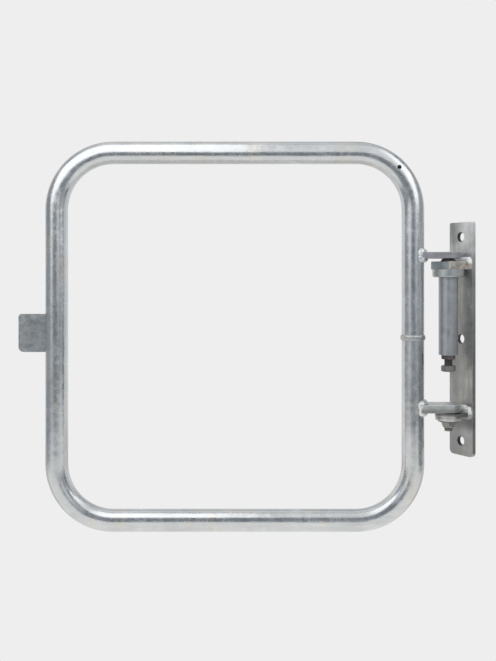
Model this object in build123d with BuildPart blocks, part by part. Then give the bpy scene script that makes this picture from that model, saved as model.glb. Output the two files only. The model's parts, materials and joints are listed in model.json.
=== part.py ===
from build123d import *
import os
from math import cos, sin, radians, degrees, asin, sqrt, pi

# Self-closing tubular gate: a bent-tube hoop on a sprung two-arm hinge,
# carried by a vertical mounting plate that bolts to a wall or post.
#
# Row frame: origin on the axis of the middle fixing hole where it meets the
# plate's back face. +Z up, +Y into the wall, +X along the wall. The hinge axis
# is vertical, in front of the plate. At rest the hinge spring is relaxed and
# the gate stands GATE_ANGLE degrees out from the wall.

os.makedirs("parts", exist_ok=True)

# ------------------------------------------------ driving dimensions (mm, deg)
GATE_ANGLE = 58.0  # gate to wall, spring relaxed

# mounting plate: flat bar with three fixing holes
PLATE_W = 60.0
PLATE_T = 8.0
PLATE_H = 446.0
PLATE_HOLE_D = 18.0
PLATE_HOLE_PITCH = 195.0
PLATE_TOP_R = 4.0
PLATE_BOTTOM_R = 9.0
PLATE_EDGE = 0.8

# hinge axis and the two lugs
PIN_STANDOFF = 33.0  # plate's front face to hinge axis
LUG_W = 50.0
LUG_NOSE = 21.5  # square-nosed upper lug beyond the hinge axis
LOWER_LUG_W = 50.0  # the lower lug's nose is a half round on the hinge axis
UPPER_LUG_TOP = 147.8
UPPER_LUG_T = 15.0
LOWER_LUG_TOP = -138.2
LOWER_LUG_T = 8.0
LUG_EDGE = 1.2
LUG_WELD = 7.0  # leg along the lug
UPPER_LUG_WELD_TOP = 8.5  # leg on the plate, above the lug
LOWER_LUG_WELD_TOP = 12.5
LOWER_LUG_WELD_UNDER = 5.5
LUG_SIDE_WELD = 4.2  # leg on the plate at the lug's sides

# hoop
TUBE_D = 42.4
TUBE_T = 3.2
HOOP_W = 717.0  # over the tube
HOOP_H = 738.2
HOOP_MID_Z = 5.5
BEND_R = 108.0  # to the tube's centreline
HINGE_LEG_X = 67.0  # hinge axis to the hinge-side leg's centreline
VENT_D = 8.0
VENT_TURN = 10.5  # round the tube, from the front towards the outside
JOINT_Z = 4.0
JOINT_D = 47.6
JOINT_H = 9.5

# arms
ARM_W = 48.0
UPPER_ARM_T = 12.0
LOWER_ARM_T = 15.0
ARM_REACH = 55.0
ARM_EDGE = 1.0
UPPER_ARM_BOTTOM = 153.3
LOWER_ARM_BOTTOM = -136.5
ARM_WELD = 7.5

# stop plate on the free leg
STOP_OUT = 53.5  # beyond the tube's outside
STOP_H = 72.5
STOP_MID_Z = 11.8
STOP_T = 8.0
STOP_BACK = 8.0  # front face behind the tube's centreline
STOP_TOP_R = 6.0
STOP_BOTTOM_R = 10.0

# spring housing under the upper lug
HOUSING_D = 36.0
HOUSING_T = 2.5
HOUSING_BOTTOM = -29.0
COLLAR_D = 59.0
COLLAR_H = 15.0
PLUG_T = 12.0

# upper hinge shaft and its bush
SHAFT_D = 20.0
MANDREL_D = 16.0
SHAFT_STEP_Z = 110.0
SHAFT_BOTTOM = 8.0
UPPER_BUSH_D = 26.0
RUN = 0.05  # radial running clearance
GAP = 0.2  # axial running gap

# lower pivot
STUD_D = 16.0
STUD_BOTTOM = -173.0
LOWER_BUSH_D = 22.0
THRUST_D = 34.0
THRUST_T = 1.5
WASHER_D = 49.0
WASHER_T = 5.5
SMALL_WASHER_D = 38.0
SMALL_WASHER_T = 3.0
HEX_AF = 24.0
NYLOC_HEX_H = 7.5
NYLOC_H = 11.0
NYLOC_CROWN_D = 21.0

# tension adjuster at the bottom of the housing
BOLT_D = 16.0
BOLT_HEAD_H = 11.5
BOLT_HEAD_TOP = -49.0
BOLT_TURN = 58.0  # a corner of the head, round the axis from +X
JAM_NUT_H = 8.0
JAM_NUT_TURN = 66.0
WINDER_D = 30.6
WINDER_T = 12.0

# torsion spring
WIRE_D = 5.0
SPRING_MEAN_D = 25.0
SPRING_BOTTOM = 6.5
SPRING_TOP = 92.0
SPRING_COILS = 14
ANCHOR_D = 5.0
ANCHOR_L = 28.0
ANCHOR_Z = 100.0

# ------------------------------------------------------------- derived places
pin_y = -(PLATE_T + PIN_STANDOFF)
out = (-cos(radians(GATE_ANGLE)), -sin(radians(GATE_ANGLE)), 0.0)  # along the gate
back = (-sin(radians(GATE_ANGLE)), cos(radians(GATE_ANGLE)), 0.0)  # gate's rear side
tube_r = TUBE_D / 2
leg_x = HINGE_LEG_X
free_x = HINGE_LEG_X + HOOP_W - TUBE_D
rail_top = HOOP_MID_Z + HOOP_H / 2 - tube_r
rail_bottom = HOOP_MID_Z - HOOP_H / 2 + tube_r


def gate_point(x, behind, z):
    """A point given along the gate, behind its middle plane, and in height."""
    return Vector(
        out[0] * x + back[0] * behind,
        pin_y + out[1] * x + back[1] * behind,
        z,
    )


def gate_level(z, x=0.0, behind=0.0):
    """A level plane: x along the gate, y towards the gate's front."""
    return Plane(origin=gate_point(x, behind, z), x_dir=out, z_dir=(0, 0, 1))


gate_face = Plane(origin=(0, pin_y, 0), x_dir=out, z_dir=back)  # x out, y up
pin_level = Plane(origin=(0, pin_y, 0), x_dir=(1, 0, 0), z_dir=(0, 0, 1))


def save(piece, label):
    piece.part.label = label
    export_step(piece.part, "parts/" + label + ".step")


# -------------------------------------------------------------- mounting plate
wall_face = Plane(origin=(0, 0, 0), x_dir=(1, 0, 0), z_dir=(0, -1, 0))  # y up

with BuildPart() as mounting_plate:
    with BuildSketch(wall_face) as plate_outline:
        Rectangle(PLATE_W, PLATE_H)
        corners = plate_outline.vertices().group_by(Axis.Y)
        fillet(corners[0], PLATE_BOTTOM_R)
        corners = plate_outline.vertices().group_by(Axis.Y)
        fillet(corners[-1], PLATE_TOP_R)
    extrude(amount=PLATE_T)
    front_rim = mounting_plate.faces().sort_by(Axis.Y)[0].outer_wire().edges()
    chamfer(front_rim, PLATE_EDGE)
    with BuildSketch(wall_face):
        with GridLocations(0, PLATE_HOLE_PITCH, 1, 3):
            Circle(PLATE_HOLE_D / 2)
    extrude(amount=PLATE_T, mode=Mode.SUBTRACT)
save(mounting_plate, "mounting_plate")


# -------------------------------------------------------------------- the lugs
def lug_outline(top):
    return Plane(origin=(0, pin_y, top), x_dir=(1, 0, 0), z_dir=(0, 0, 1))


with BuildPart() as upper_lug:
    with BuildSketch(lug_outline(UPPER_LUG_TOP - UPPER_LUG_T)):
        with Locations((0, (PIN_STANDOFF - LUG_NOSE) / 2)):
            Rectangle(LUG_W, PIN_STANDOFF + LUG_NOSE)
    extrude(amount=UPPER_LUG_T)
    nose = upper_lug.edges().filter_by(Axis.Z).group_by(Axis.Y)[0]
    fillet(nose, 2.0)
    rim = upper_lug.faces().sort_by(Axis.Z)[-1].outer_wire().edges()
    chamfer(rim.sort_by(Axis.Y)[:-1], LUG_EDGE)
    with BuildSketch(lug_outline(UPPER_LUG_TOP - UPPER_LUG_T)):
        Circle(UPPER_BUSH_D / 2)
    extrude(amount=UPPER_LUG_T, mode=Mode.SUBTRACT)
save(upper_lug, "upper_lug")

with BuildPart() as lower_lug:
    with BuildSketch(lug_outline(LOWER_LUG_TOP - LOWER_LUG_T)):
        Circle(LOWER_LUG_W / 2)
        with Locations((0, PIN_STANDOFF / 2)):
            Rectangle(LOWER_LUG_W, PIN_STANDOFF)
    extrude(amount=LOWER_LUG_T)
    rim = lower_lug.faces().sort_by(Axis.Z)[0].outer_wire().edges()
    chamfer(rim.sort_by(Axis.Y)[:-1], LUG_EDGE)
    with BuildSketch(lug_outline(LOWER_LUG_TOP - LOWER_LUG_T)):
        Circle(LOWER_BUSH_D / 2)
    extrude(amount=LOWER_LUG_T, mode=Mode.SUBTRACT)
save(lower_lug, "lower_lug")


# fillet welds where each lug meets the plate: a sloping collar round the lug's
# root, left off the upper lug's underside, where the housing collar sits
def root_plane(mid_z):
    return Plane(origin=(0, -PLATE_T, mid_z), x_dir=(1, 0, 0), z_dir=(0, -1, 0))


upper_mid = UPPER_LUG_TOP - UPPER_LUG_T / 2
lower_mid = LOWER_LUG_TOP - LOWER_LUG_T / 2

with BuildPart() as upper_lug_weld:
    with BuildSketch(root_plane(upper_mid)):
        with Locations((0, UPPER_LUG_WELD_TOP / 2)):
            RectangleRounded(LUG_W + 2 * LUG_SIDE_WELD, UPPER_LUG_T + UPPER_LUG_WELD_TOP, LUG_SIDE_WELD - 0.5)
    with BuildSketch(root_plane(upper_mid).offset(LUG_WELD)):
        with Locations((0, 0.3)):
            RectangleRounded(LUG_W + 0.6, UPPER_LUG_T + 0.6, 0.3)
    loft()
    with BuildSketch(root_plane(upper_mid)):
        Rectangle(LUG_W, UPPER_LUG_T)
    extrude(amount=LUG_WELD + 1, mode=Mode.SUBTRACT)
    with BuildSketch(root_plane(upper_mid)):
        with Locations((0, -UPPER_LUG_T / 2 - LUG_WELD)):
            Rectangle(2 * LUG_W, 2 * LUG_WELD)
    extrude(amount=LUG_WELD + 1, mode=Mode.SUBTRACT)
save(upper_lug_weld, "upper_lug_weld")

with BuildPart() as lower_lug_weld:
    with BuildSketch(root_plane(lower_mid)):
        with Locations((0, (LOWER_LUG_WELD_TOP - LOWER_LUG_WELD_UNDER) / 2)):
            RectangleRounded(
                LOWER_LUG_W + 2 * LUG_SIDE_WELD,
                LOWER_LUG_T + LOWER_LUG_WELD_TOP + LOWER_LUG_WELD_UNDER,
                LUG_SIDE_WELD - 0.5,
            )
    with BuildSketch(root_plane(lower_mid).offset(LUG_WELD)):
        RectangleRounded(LOWER_LUG_W + 0.6, LOWER_LUG_T + 0.6, 0.3)
    loft()
    with BuildSketch(root_plane(lower_mid)):
        Rectangle(LOWER_LUG_W, LOWER_LUG_T)
    extrude(amount=LUG_WELD + 1, mode=Mode.SUBTRACT)
save(lower_lug_weld, "lower_lug_weld")


# ----------------------------------------------------------------- hinge bushes
with BuildPart() as upper_bush:
    with BuildSketch(lug_outline(UPPER_LUG_TOP - UPPER_LUG_T)):
        Circle(UPPER_BUSH_D / 2)
        Circle(SHAFT_D / 2 + RUN, mode=Mode.SUBTRACT)
    extrude(amount=UPPER_LUG_T)
save(upper_bush, "upper_bush")

with BuildPart() as lower_bush:
    with BuildSketch(lug_outline(LOWER_LUG_TOP - LOWER_LUG_T)):
        Circle(LOWER_BUSH_D / 2)
        Circle(STUD_D / 2 + RUN, mode=Mode.SUBTRACT)
    extrude(amount=LOWER_LUG_T)
save(lower_bush, "lower_bush")


# --------------------------------------------------------------- spring housing
housing_top = UPPER_LUG_TOP - UPPER_LUG_T
housing_bore = HOUSING_D / 2 - HOUSING_T

with BuildPart() as spring_housing:
    with BuildSketch(pin_level.offset(HOUSING_BOTTOM)):
        Circle(HOUSING_D / 2)
        Circle(housing_bore, mode=Mode.SUBTRACT)
    extrude(amount=housing_top - HOUSING_BOTTOM)
    low_edge = spring_housing.edges().filter_by(GeomType.CIRCLE).group_by(Axis.Z)[0]
    fillet(low_edge.sort_by(SortBy.RADIUS)[-1], 1.0)
save(spring_housing, "spring_housing")

with BuildPart() as housing_collar:
    with BuildSketch(pin_level.offset(housing_top - COLLAR_H)):
        Circle(COLLAR_D / 2)
        Circle(HOUSING_D / 2, mode=Mode.SUBTRACT)
    extrude(amount=COLLAR_H)
    rims = housing_collar.edges().filter_by(GeomType.CIRCLE).sort_by(SortBy.RADIUS)[-2:]
    fillet(rims.sort_by(Axis.Z)[0], 4.0)
save(housing_collar, "housing_collar")

plug_bottom = HOUSING_BOTTOM + 1.5
with BuildPart() as housing_end_plug:
    with BuildSketch(pin_level.offset(plug_bottom)):
        Circle(housing_bore)
        Circle(BOLT_D / 2 + RUN, mode=Mode.SUBTRACT)
    extrude(amount=PLUG_T)
save(housing_end_plug, "housing_end_plug")


# -------------------------------------------------------------- tension adjuster
winder_bottom = plug_bottom + PLUG_T + GAP
winder_top = winder_bottom + WINDER_T

with BuildPart() as tension_bolt:
    with BuildSketch(pin_level.offset(BOLT_HEAD_TOP)):
        Circle(BOLT_D / 2)
    extrude(amount=winder_top - BOLT_HEAD_TOP)
    with BuildSketch(pin_level.offset(BOLT_HEAD_TOP - BOLT_HEAD_H)):
        RegularPolygon(HEX_AF / 2, 6, major_radius=False, rotation=BOLT_TURN)
    extrude(amount=BOLT_HEAD_H)
    with BuildSketch(Plane(origin=(0, pin_y, BOLT_HEAD_TOP - BOLT_HEAD_H), x_dir=(1, 0, 0), z_dir=(0, -1, 0))):
        with BuildLine():
            Polyline((11.4, 0), (15.0, 0), (15.0, 2.4), (11.4, 0))
        make_face()
    revolve(axis=Axis((0, pin_y, 0), (0, 0, 1)), revolution_arc=360, mode=Mode.SUBTRACT)
save(tension_bolt, "tension_bolt")

jam_top = HOUSING_BOTTOM - GAP
with BuildPart() as tension_lock_nut:
    with BuildSketch(pin_level.offset(jam_top - JAM_NUT_H)):
        RegularPolygon(HEX_AF / 2, 6, major_radius=False, rotation=JAM_NUT_TURN)
        Circle(BOLT_D / 2, mode=Mode.SUBTRACT)
    extrude(amount=JAM_NUT_H)
    with BuildSketch(Plane(origin=(0, pin_y, jam_top - JAM_NUT_H), x_dir=(1, 0, 0), z_dir=(0, -1, 0))):
        with BuildLine():
            Polyline((11.6, 0), (15.0, 0), (15.0, 2.2), (11.6, 0))
        make_face()
        with BuildLine():
            Polyline((11.6, JAM_NUT_H), (15.0, JAM_NUT_H), (15.0, JAM_NUT_H - 2.2), (11.6, JAM_NUT_H))
        make_face()
    revolve(axis=Axis((0, pin_y, 0), (0, 0, 1)), revolution_arc=360, mode=Mode.SUBTRACT)
save(tension_lock_nut, "tension_lock_nut")

# the spring has whole coils, so both its legs stand at turn 0 round the hinge
# axis; the anchor pin lies just beside the upper leg
anchor_turn = -degrees(asin((ANCHOR_D / 2 + WIRE_D / 2 + 0.15) / (SPRING_MEAN_D / 2)))


with BuildPart() as spring_winder:
    with BuildSketch(pin_level.offset(winder_bottom)):
        Circle(WINDER_D / 2)
        Circle(BOLT_D / 2, mode=Mode.SUBTRACT)
    extrude(amount=WINDER_T)
    with BuildSketch(pin_level.offset(winder_bottom + 3)):
        with Locations((SPRING_MEAN_D / 2, 0)):
            Circle(WIRE_D / 2 + 0.1)
    extrude(amount=WINDER_T, mode=Mode.SUBTRACT)
save(spring_winder, "spring_winder")


# ---------------------------------------------------------------- torsion spring
pitch = (SPRING_TOP - SPRING_BOTTOM) / SPRING_COILS
with BuildPart() as torsion_spring:
    with BuildLine(pin_level.offset(SPRING_BOTTOM)) as coil_line:
        Helix(pitch=pitch, height=SPRING_TOP - SPRING_BOTTOM, radius=SPRING_MEAN_D / 2)
    with BuildSketch(Plane(origin=coil_line.line @ 0, z_dir=coil_line.line % 0)):
        Circle(WIRE_D / 2)
    sweep(path=coil_line.line, is_frenet=True)
    # axial legs, each with a round corner into its coil
    with Locations(coil_line.line @ 0, coil_line.line @ 1):
        Sphere(WIRE_D / 2 + 0.04)
    leg_low = coil_line.line @ 0
    with BuildSketch(Plane(origin=(leg_low.X, leg_low.Y, winder_bottom + 4), z_dir=(0, 0, 1))):
        Circle(WIRE_D / 2)
    extrude(amount=leg_low.Z - (winder_bottom + 4) + 0.4)
    leg_high = coil_line.line @ 1
    with BuildSketch(Plane(origin=(leg_high.X, leg_high.Y, leg_high.Z - 0.4), z_dir=(0, 0, 1))):
        Circle(WIRE_D / 2)
    extrude(amount=ANCHOR_Z + ANCHOR_D / 2 + 1 - leg_high.Z + 0.4)
save(torsion_spring, "torsion_spring")


# ------------------------------------------------------------------ hoop of tube
with BuildPart() as hoop_tube:
    with BuildLine(gate_face) as hoop_line:
        FilletPolyline(
            (leg_x, rail_bottom),
            (leg_x, rail_top),
            (free_x, rail_top),
            (free_x, rail_bottom),
            radius=BEND_R,
            close=True,
        )
    with BuildSketch(Plane(origin=hoop_line.line @ 0, z_dir=hoop_line.line % 0)):
        Circle(tube_r)
        Circle(tube_r - TUBE_T, mode=Mode.SUBTRACT)
    sweep(path=hoop_line.line)
    # vent hole for the zinc bath, in the upper hinge-side bend
    bend_x, bend_z = leg_x + BEND_R, rail_top - BEND_R
    vent_at = gate_point(bend_x - BEND_R * sin(pi / 4), 0, bend_z + BEND_R * cos(pi / 4))
    lean = radians(VENT_TURN)
    outward = Vector(out) * (-sin(pi / 4)) + Vector(0, 0, cos(pi / 4))
    vent_dir = Vector(back) * (-cos(lean)) + outward * sin(lean)
    with BuildSketch(Plane(origin=vent_at, z_dir=vent_dir)):
        Circle(VENT_D / 2)
    extrude(amount=TUBE_D, mode=Mode.SUBTRACT)
save(hoop_tube, "hoop_tube")

with BuildPart() as hoop_joint_weld:
    with BuildSketch(Plane(origin=gate_point(leg_x, 0, JOINT_Z), x_dir=out, z_dir=back)) as bead:
        with BuildLine():
            Line((tube_r, -JOINT_H / 2), (tube_r, JOINT_H / 2))
            ThreePointArc(
                (tube_r, JOINT_H / 2),
                (JOINT_D / 2, 0),
                (tube_r, -JOINT_H / 2),
            )
        make_face()
    leg_axis = Axis(tuple(gate_point(leg_x, 0, JOINT_Z)), (0, 0, 1))
    revolve(axis=leg_axis, revolution_arc=360)
save(hoop_joint_weld, "hoop_joint_weld")


# --------------------------------------------------------------------- the arms
# outline of both: half-round nose on the hinge axis, square end past the tube's side
nose_r = ARM_W / 2
with BuildSketch() as arm_outline:
    with BuildLine():
        Line((0, nose_r), (ARM_REACH, nose_r))
        Line((ARM_REACH, nose_r), (ARM_REACH, -nose_r))
        Line((ARM_REACH, -nose_r), (0, -nose_r))
        ThreePointArc((0, -nose_r), (-nose_r, 0), (0, nose_r))
    make_face()


with BuildPart() as upper_arm:
    with BuildSketch(gate_level(UPPER_ARM_BOTTOM)):
        add(arm_outline.sketch)
    extrude(amount=UPPER_ARM_T)
    for face in (upper_arm.faces().sort_by(Axis.Z)[-1], upper_arm.faces().sort_by(Axis.Z)[0]):
        chamfer(face.outer_wire().edges(), ARM_EDGE)
    with BuildSketch(gate_level(UPPER_ARM_BOTTOM)):
        Circle(SHAFT_D / 2)
        with Locations((leg_x, 0)):
            Circle(tube_r)
    extrude(amount=UPPER_ARM_T, mode=Mode.SUBTRACT)
save(upper_arm, "upper_arm")

with BuildPart() as lower_arm:
    with BuildSketch(gate_level(LOWER_ARM_BOTTOM)):
        add(arm_outline.sketch)
    extrude(amount=LOWER_ARM_T)
    for face in (lower_arm.faces().sort_by(Axis.Z)[-1], lower_arm.faces().sort_by(Axis.Z)[0]):
        chamfer(face.outer_wire().edges(), ARM_EDGE)
    with BuildSketch(gate_level(LOWER_ARM_BOTTOM)):
        Circle(STUD_D / 2)
        with Locations((leg_x, 0)):
            Circle(tube_r)
    extrude(amount=LOWER_ARM_T, mode=Mode.SUBTRACT)
save(lower_arm, "lower_arm")


# fillet welds that join each arm to the leg: a bead along the tube on the bar's
# upper and lower face, and one down each side where the bar wraps the tube
half_wrap = 62.0  # each way round the tube, from the side that faces the hinge


def wrap_start(bottom):
    """Upright plane through the leg's axis, turned half_wrap from the hinge side."""
    level = Plane(origin=gate_point(leg_x, 0, bottom), x_dir=(-out[0], -out[1], 0), z_dir=(0, 0, 1))
    turned = level.rotated((0, 0, -half_wrap))
    return Plane(origin=turned.origin, x_dir=turned.x_dir, z_dir=turned.y_dir * -1)


with BuildPart() as upper_arm_weld:
    with BuildSketch(wrap_start(UPPER_ARM_BOTTOM)):
        with BuildLine():
            Polyline((tube_r, UPPER_ARM_T), (tube_r + ARM_WELD, UPPER_ARM_T), (tube_r, UPPER_ARM_T + ARM_WELD), (tube_r, UPPER_ARM_T))
        make_face()
        with BuildLine():
            Polyline((tube_r, 0), (tube_r + ARM_WELD, 0), (tube_r, -ARM_WELD), (tube_r, 0))
        make_face()
    revolve(axis=Axis(tuple(gate_point(leg_x, 0, 0)), (0, 0, 1)), revolution_arc=2 * half_wrap)
    with BuildSketch(gate_level(UPPER_ARM_BOTTOM - ARM_WELD)):
        with Locations((ARM_REACH + 1.5, 17.8), (ARM_REACH + 1.5, -17.8)):
            Circle(6.1)
    extrude(amount=UPPER_ARM_T + 2 * ARM_WELD)
    with BuildSketch(gate_level(UPPER_ARM_BOTTOM - 2 * ARM_WELD)):
        with Locations((leg_x, 0)):
            Circle(tube_r)
    extrude(amount=UPPER_ARM_T + 4 * ARM_WELD, mode=Mode.SUBTRACT)
    with BuildSketch(gate_level(UPPER_ARM_BOTTOM)):
        with Locations((ARM_REACH / 2, 0)):
            Rectangle(ARM_REACH, ARM_W)
    extrude(amount=UPPER_ARM_T, mode=Mode.SUBTRACT)
save(upper_arm_weld, "upper_arm_weld")

with BuildPart() as lower_arm_weld:
    with BuildSketch(wrap_start(LOWER_ARM_BOTTOM)):
        with BuildLine():
            Polyline((tube_r, LOWER_ARM_T), (tube_r + ARM_WELD, LOWER_ARM_T), (tube_r, LOWER_ARM_T + ARM_WELD), (tube_r, LOWER_ARM_T))
        make_face()
        with BuildLine():
            Polyline((tube_r, 0), (tube_r + ARM_WELD, 0), (tube_r, -ARM_WELD), (tube_r, 0))
        make_face()
    revolve(axis=Axis(tuple(gate_point(leg_x, 0, 0)), (0, 0, 1)), revolution_arc=2 * half_wrap)
    with BuildSketch(gate_level(LOWER_ARM_BOTTOM - ARM_WELD)):
        with Locations((ARM_REACH + 1.5, 17.8), (ARM_REACH + 1.5, -17.8)):
            Circle(6.1)
    extrude(amount=LOWER_ARM_T + 2 * ARM_WELD)
    with BuildSketch(gate_level(LOWER_ARM_BOTTOM - 2 * ARM_WELD)):
        with Locations((leg_x, 0)):
            Circle(tube_r)
    extrude(amount=LOWER_ARM_T + 4 * ARM_WELD, mode=Mode.SUBTRACT)
    with BuildSketch(gate_level(LOWER_ARM_BOTTOM)):
        with Locations((ARM_REACH / 2, 0)):
            Rectangle(ARM_REACH, ARM_W)
    extrude(amount=LOWER_ARM_T, mode=Mode.SUBTRACT)
save(lower_arm_weld, "lower_arm_weld")


# -------------------------------------------------------------------- stop plate
stop_low, stop_high = STOP_MID_Z - STOP_H / 2, STOP_MID_Z + STOP_H / 2
stop_end = free_x + tube_r + STOP_OUT
with BuildPart() as stop_plate:
    with BuildSketch(gate_face.offset(STOP_BACK)) as stop_outline:
        with Locations(((free_x + stop_end) / 2, STOP_MID_Z)):
            Rectangle(stop_end - free_x, STOP_H)
        far = stop_outline.vertices().sort_by(Axis.X)[-2:]
        fillet(far.sort_by(Axis.Y)[0], STOP_BOTTOM_R)
        far = stop_outline.vertices().sort_by(Axis.Y)[-2:]
        fillet(far.sort_by(Axis.X)[-1], STOP_TOP_R)
    extrude(amount=STOP_T)
    with BuildSketch(gate_level(stop_low - 1, free_x)):
        Circle(tube_r)
    extrude(amount=STOP_H + 2, mode=Mode.SUBTRACT)
save(stop_plate, "stop_plate")

# bead down the rear of the stop plate, and a thin one down its front
weld_x = sqrt(tube_r**2 - (STOP_BACK + STOP_T) ** 2)
with BuildPart() as stop_plate_weld:
    with BuildSketch(gate_level(stop_low + 3, free_x)):
        with Locations((weld_x + 1.2, -(STOP_BACK + STOP_T) - 0.6)):
            Circle(4.2)
    extrude(amount=STOP_H - 6)
    with BuildSketch(gate_level(stop_low - 1, free_x)):
        Circle(tube_r)
        with Locations((30, -(STOP_BACK + STOP_T / 2))):
            Rectangle(60, STOP_T)
    extrude(amount=STOP_H + 2, mode=Mode.SUBTRACT)
save(stop_plate_weld, "stop_plate_weld")


# ------------------------------------------------------- upper shaft and spacer
with BuildPart() as hinge_shaft:
    with BuildSketch(pin_level.offset(SHAFT_BOTTOM)):
        Circle(MANDREL_D / 2)
    extrude(amount=SHAFT_STEP_Z - SHAFT_BOTTOM)
    with BuildSketch(pin_level.offset(SHAFT_STEP_Z)):
        Circle(SHAFT_D / 2)
    extrude(amount=UPPER_ARM_BOTTOM + UPPER_ARM_T - SHAFT_STEP_Z)
    anchor_plane = Plane(
        origin=(0, pin_y, ANCHOR_Z),
        x_dir=(0, 0, 1),
        z_dir=(cos(radians(anchor_turn)), sin(radians(anchor_turn)), 0),
    )
    with BuildSketch(anchor_plane):
        Circle(ANCHOR_D / 2)
    extrude(amount=SHAFT_D, both=True, mode=Mode.SUBTRACT)
save(hinge_shaft, "hinge_shaft")

with BuildPart() as spring_anchor_pin:
    with BuildSketch(anchor_plane):
        Circle(ANCHOR_D / 2)
    extrude(amount=ANCHOR_L / 2, both=True)
save(spring_anchor_pin, "spring_anchor_pin")

spacer_bottom = UPPER_LUG_TOP + GAP
spacer_h = UPPER_ARM_BOTTOM - spacer_bottom
with BuildPart() as upper_spacer:
    with BuildSketch(Plane(origin=(0, pin_y, spacer_bottom), x_dir=(1, 0, 0), z_dir=(0, -1, 0))):
        with BuildLine():
            Polyline(
                (SHAFT_D / 2, 0),
                (14.5, 0),
                (14.5, 0.8),
                (10.8, spacer_h),
                (SHAFT_D / 2, spacer_h),
                (SHAFT_D / 2, 0),
            )
        make_face()
    revolve(axis=Axis((0, pin_y, 0), (0, 0, 1)), revolution_arc=360)
save(upper_spacer, "upper_spacer")


# ------------------------------------------------------------------- lower pivot
with BuildPart() as lower_pivot_stud:
    with BuildSketch(pin_level.offset(STUD_BOTTOM)):
        Circle(STUD_D / 2)
    extrude(amount=LOWER_ARM_BOTTOM + LOWER_ARM_T - STUD_BOTTOM)
    tip = lower_pivot_stud.faces().sort_by(Axis.Z)[0].outer_wire().edges()
    chamfer(tip, 1.2)
save(lower_pivot_stud, "lower_pivot_stud")

with BuildPart() as lower_thrust_washer:
    with BuildSketch(pin_level.offset(LOWER_ARM_BOTTOM - THRUST_T)):
        Circle(THRUST_D / 2)
        Circle(STUD_D / 2, mode=Mode.SUBTRACT)
    extrude(amount=THRUST_T)
save(lower_thrust_washer, "lower_thrust_washer")

washer_top = LOWER_LUG_TOP - LOWER_LUG_T - GAP
with BuildPart() as lower_washer:
    with BuildSketch(pin_level.offset(washer_top - WASHER_T)):
        Circle(WASHER_D / 2)
        Circle(STUD_D / 2, mode=Mode.SUBTRACT)
    extrude(amount=WASHER_T)
    rims = lower_washer.edges().filter_by(GeomType.CIRCLE).sort_by(SortBy.RADIUS)[-2:]
    fillet(rims, 1.2)
save(lower_washer, "lower_washer")

with BuildPart() as lower_small_washer:
    with BuildSketch(pin_level.offset(washer_top - WASHER_T - SMALL_WASHER_T)):
        Circle(SMALL_WASHER_D / 2)
        Circle(STUD_D / 2, mode=Mode.SUBTRACT)
    extrude(amount=SMALL_WASHER_T)
    rims = lower_small_washer.edges().filter_by(GeomType.CIRCLE).sort_by(SortBy.RADIUS)[-2:]
    fillet(rims, 0.6)
save(lower_small_washer, "lower_small_washer")

nut_top = washer_top - WASHER_T - SMALL_WASHER_T
with BuildPart() as lower_lock_nut:
    with BuildSketch(pin_level.offset(nut_top - NYLOC_HEX_H)):
        RegularPolygon(HEX_AF / 2, 6, major_radius=False, rotation=20)
    extrude(amount=NYLOC_HEX_H)
    with BuildSketch(Plane(origin=(0, pin_y, nut_top - NYLOC_HEX_H), x_dir=(1, 0, 0), z_dir=(0, -1, 0))):
        with BuildLine():
            Polyline((11.4, 0), (15.0, 0), (15.0, 2.4), (11.4, 0))
        make_face()
        with BuildLine():
            Polyline((11.6, NYLOC_HEX_H), (15.0, NYLOC_HEX_H), (15.0, NYLOC_HEX_H - 2.2), (11.6, NYLOC_HEX_H))
        make_face()
    revolve(axis=Axis((0, pin_y, 0), (0, 0, 1)), revolution_arc=360, mode=Mode.SUBTRACT)
    with BuildSketch(pin_level.offset(nut_top - NYLOC_H)):
        Circle(NYLOC_CROWN_D / 2)
    extrude(amount=NYLOC_H - NYLOC_HEX_H)
    crown = lower_lock_nut.faces().sort_by(Axis.Z)[0].outer_wire().edges()
    fillet(crown, 1.6)
    with BuildSketch(pin_level.offset(nut_top - NYLOC_H)):
        Circle(STUD_D / 2)
    extrude(amount=NYLOC_H, mode=Mode.SUBTRACT)
    with BuildSketch(pin_level.offset(nut_top - NYLOC_H + 0.8)):
        Circle(STUD_D / 2 + 1.4)
    extrude(amount=2.6, mode=Mode.SUBTRACT)
save(lower_lock_nut, "lower_lock_nut")

with BuildPart() as lock_nut_insert:
    with BuildSketch(pin_level.offset(nut_top - NYLOC_H + 0.8)):
        Circle(STUD_D / 2 + 1.4)
        Circle(STUD_D / 2, mode=Mode.SUBTRACT)
    extrude(amount=2.6)
save(lock_nut_insert, "lock_nut_insert")
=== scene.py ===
import bpy
import bmesh
import json
import math
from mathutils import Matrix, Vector, noise

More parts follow.
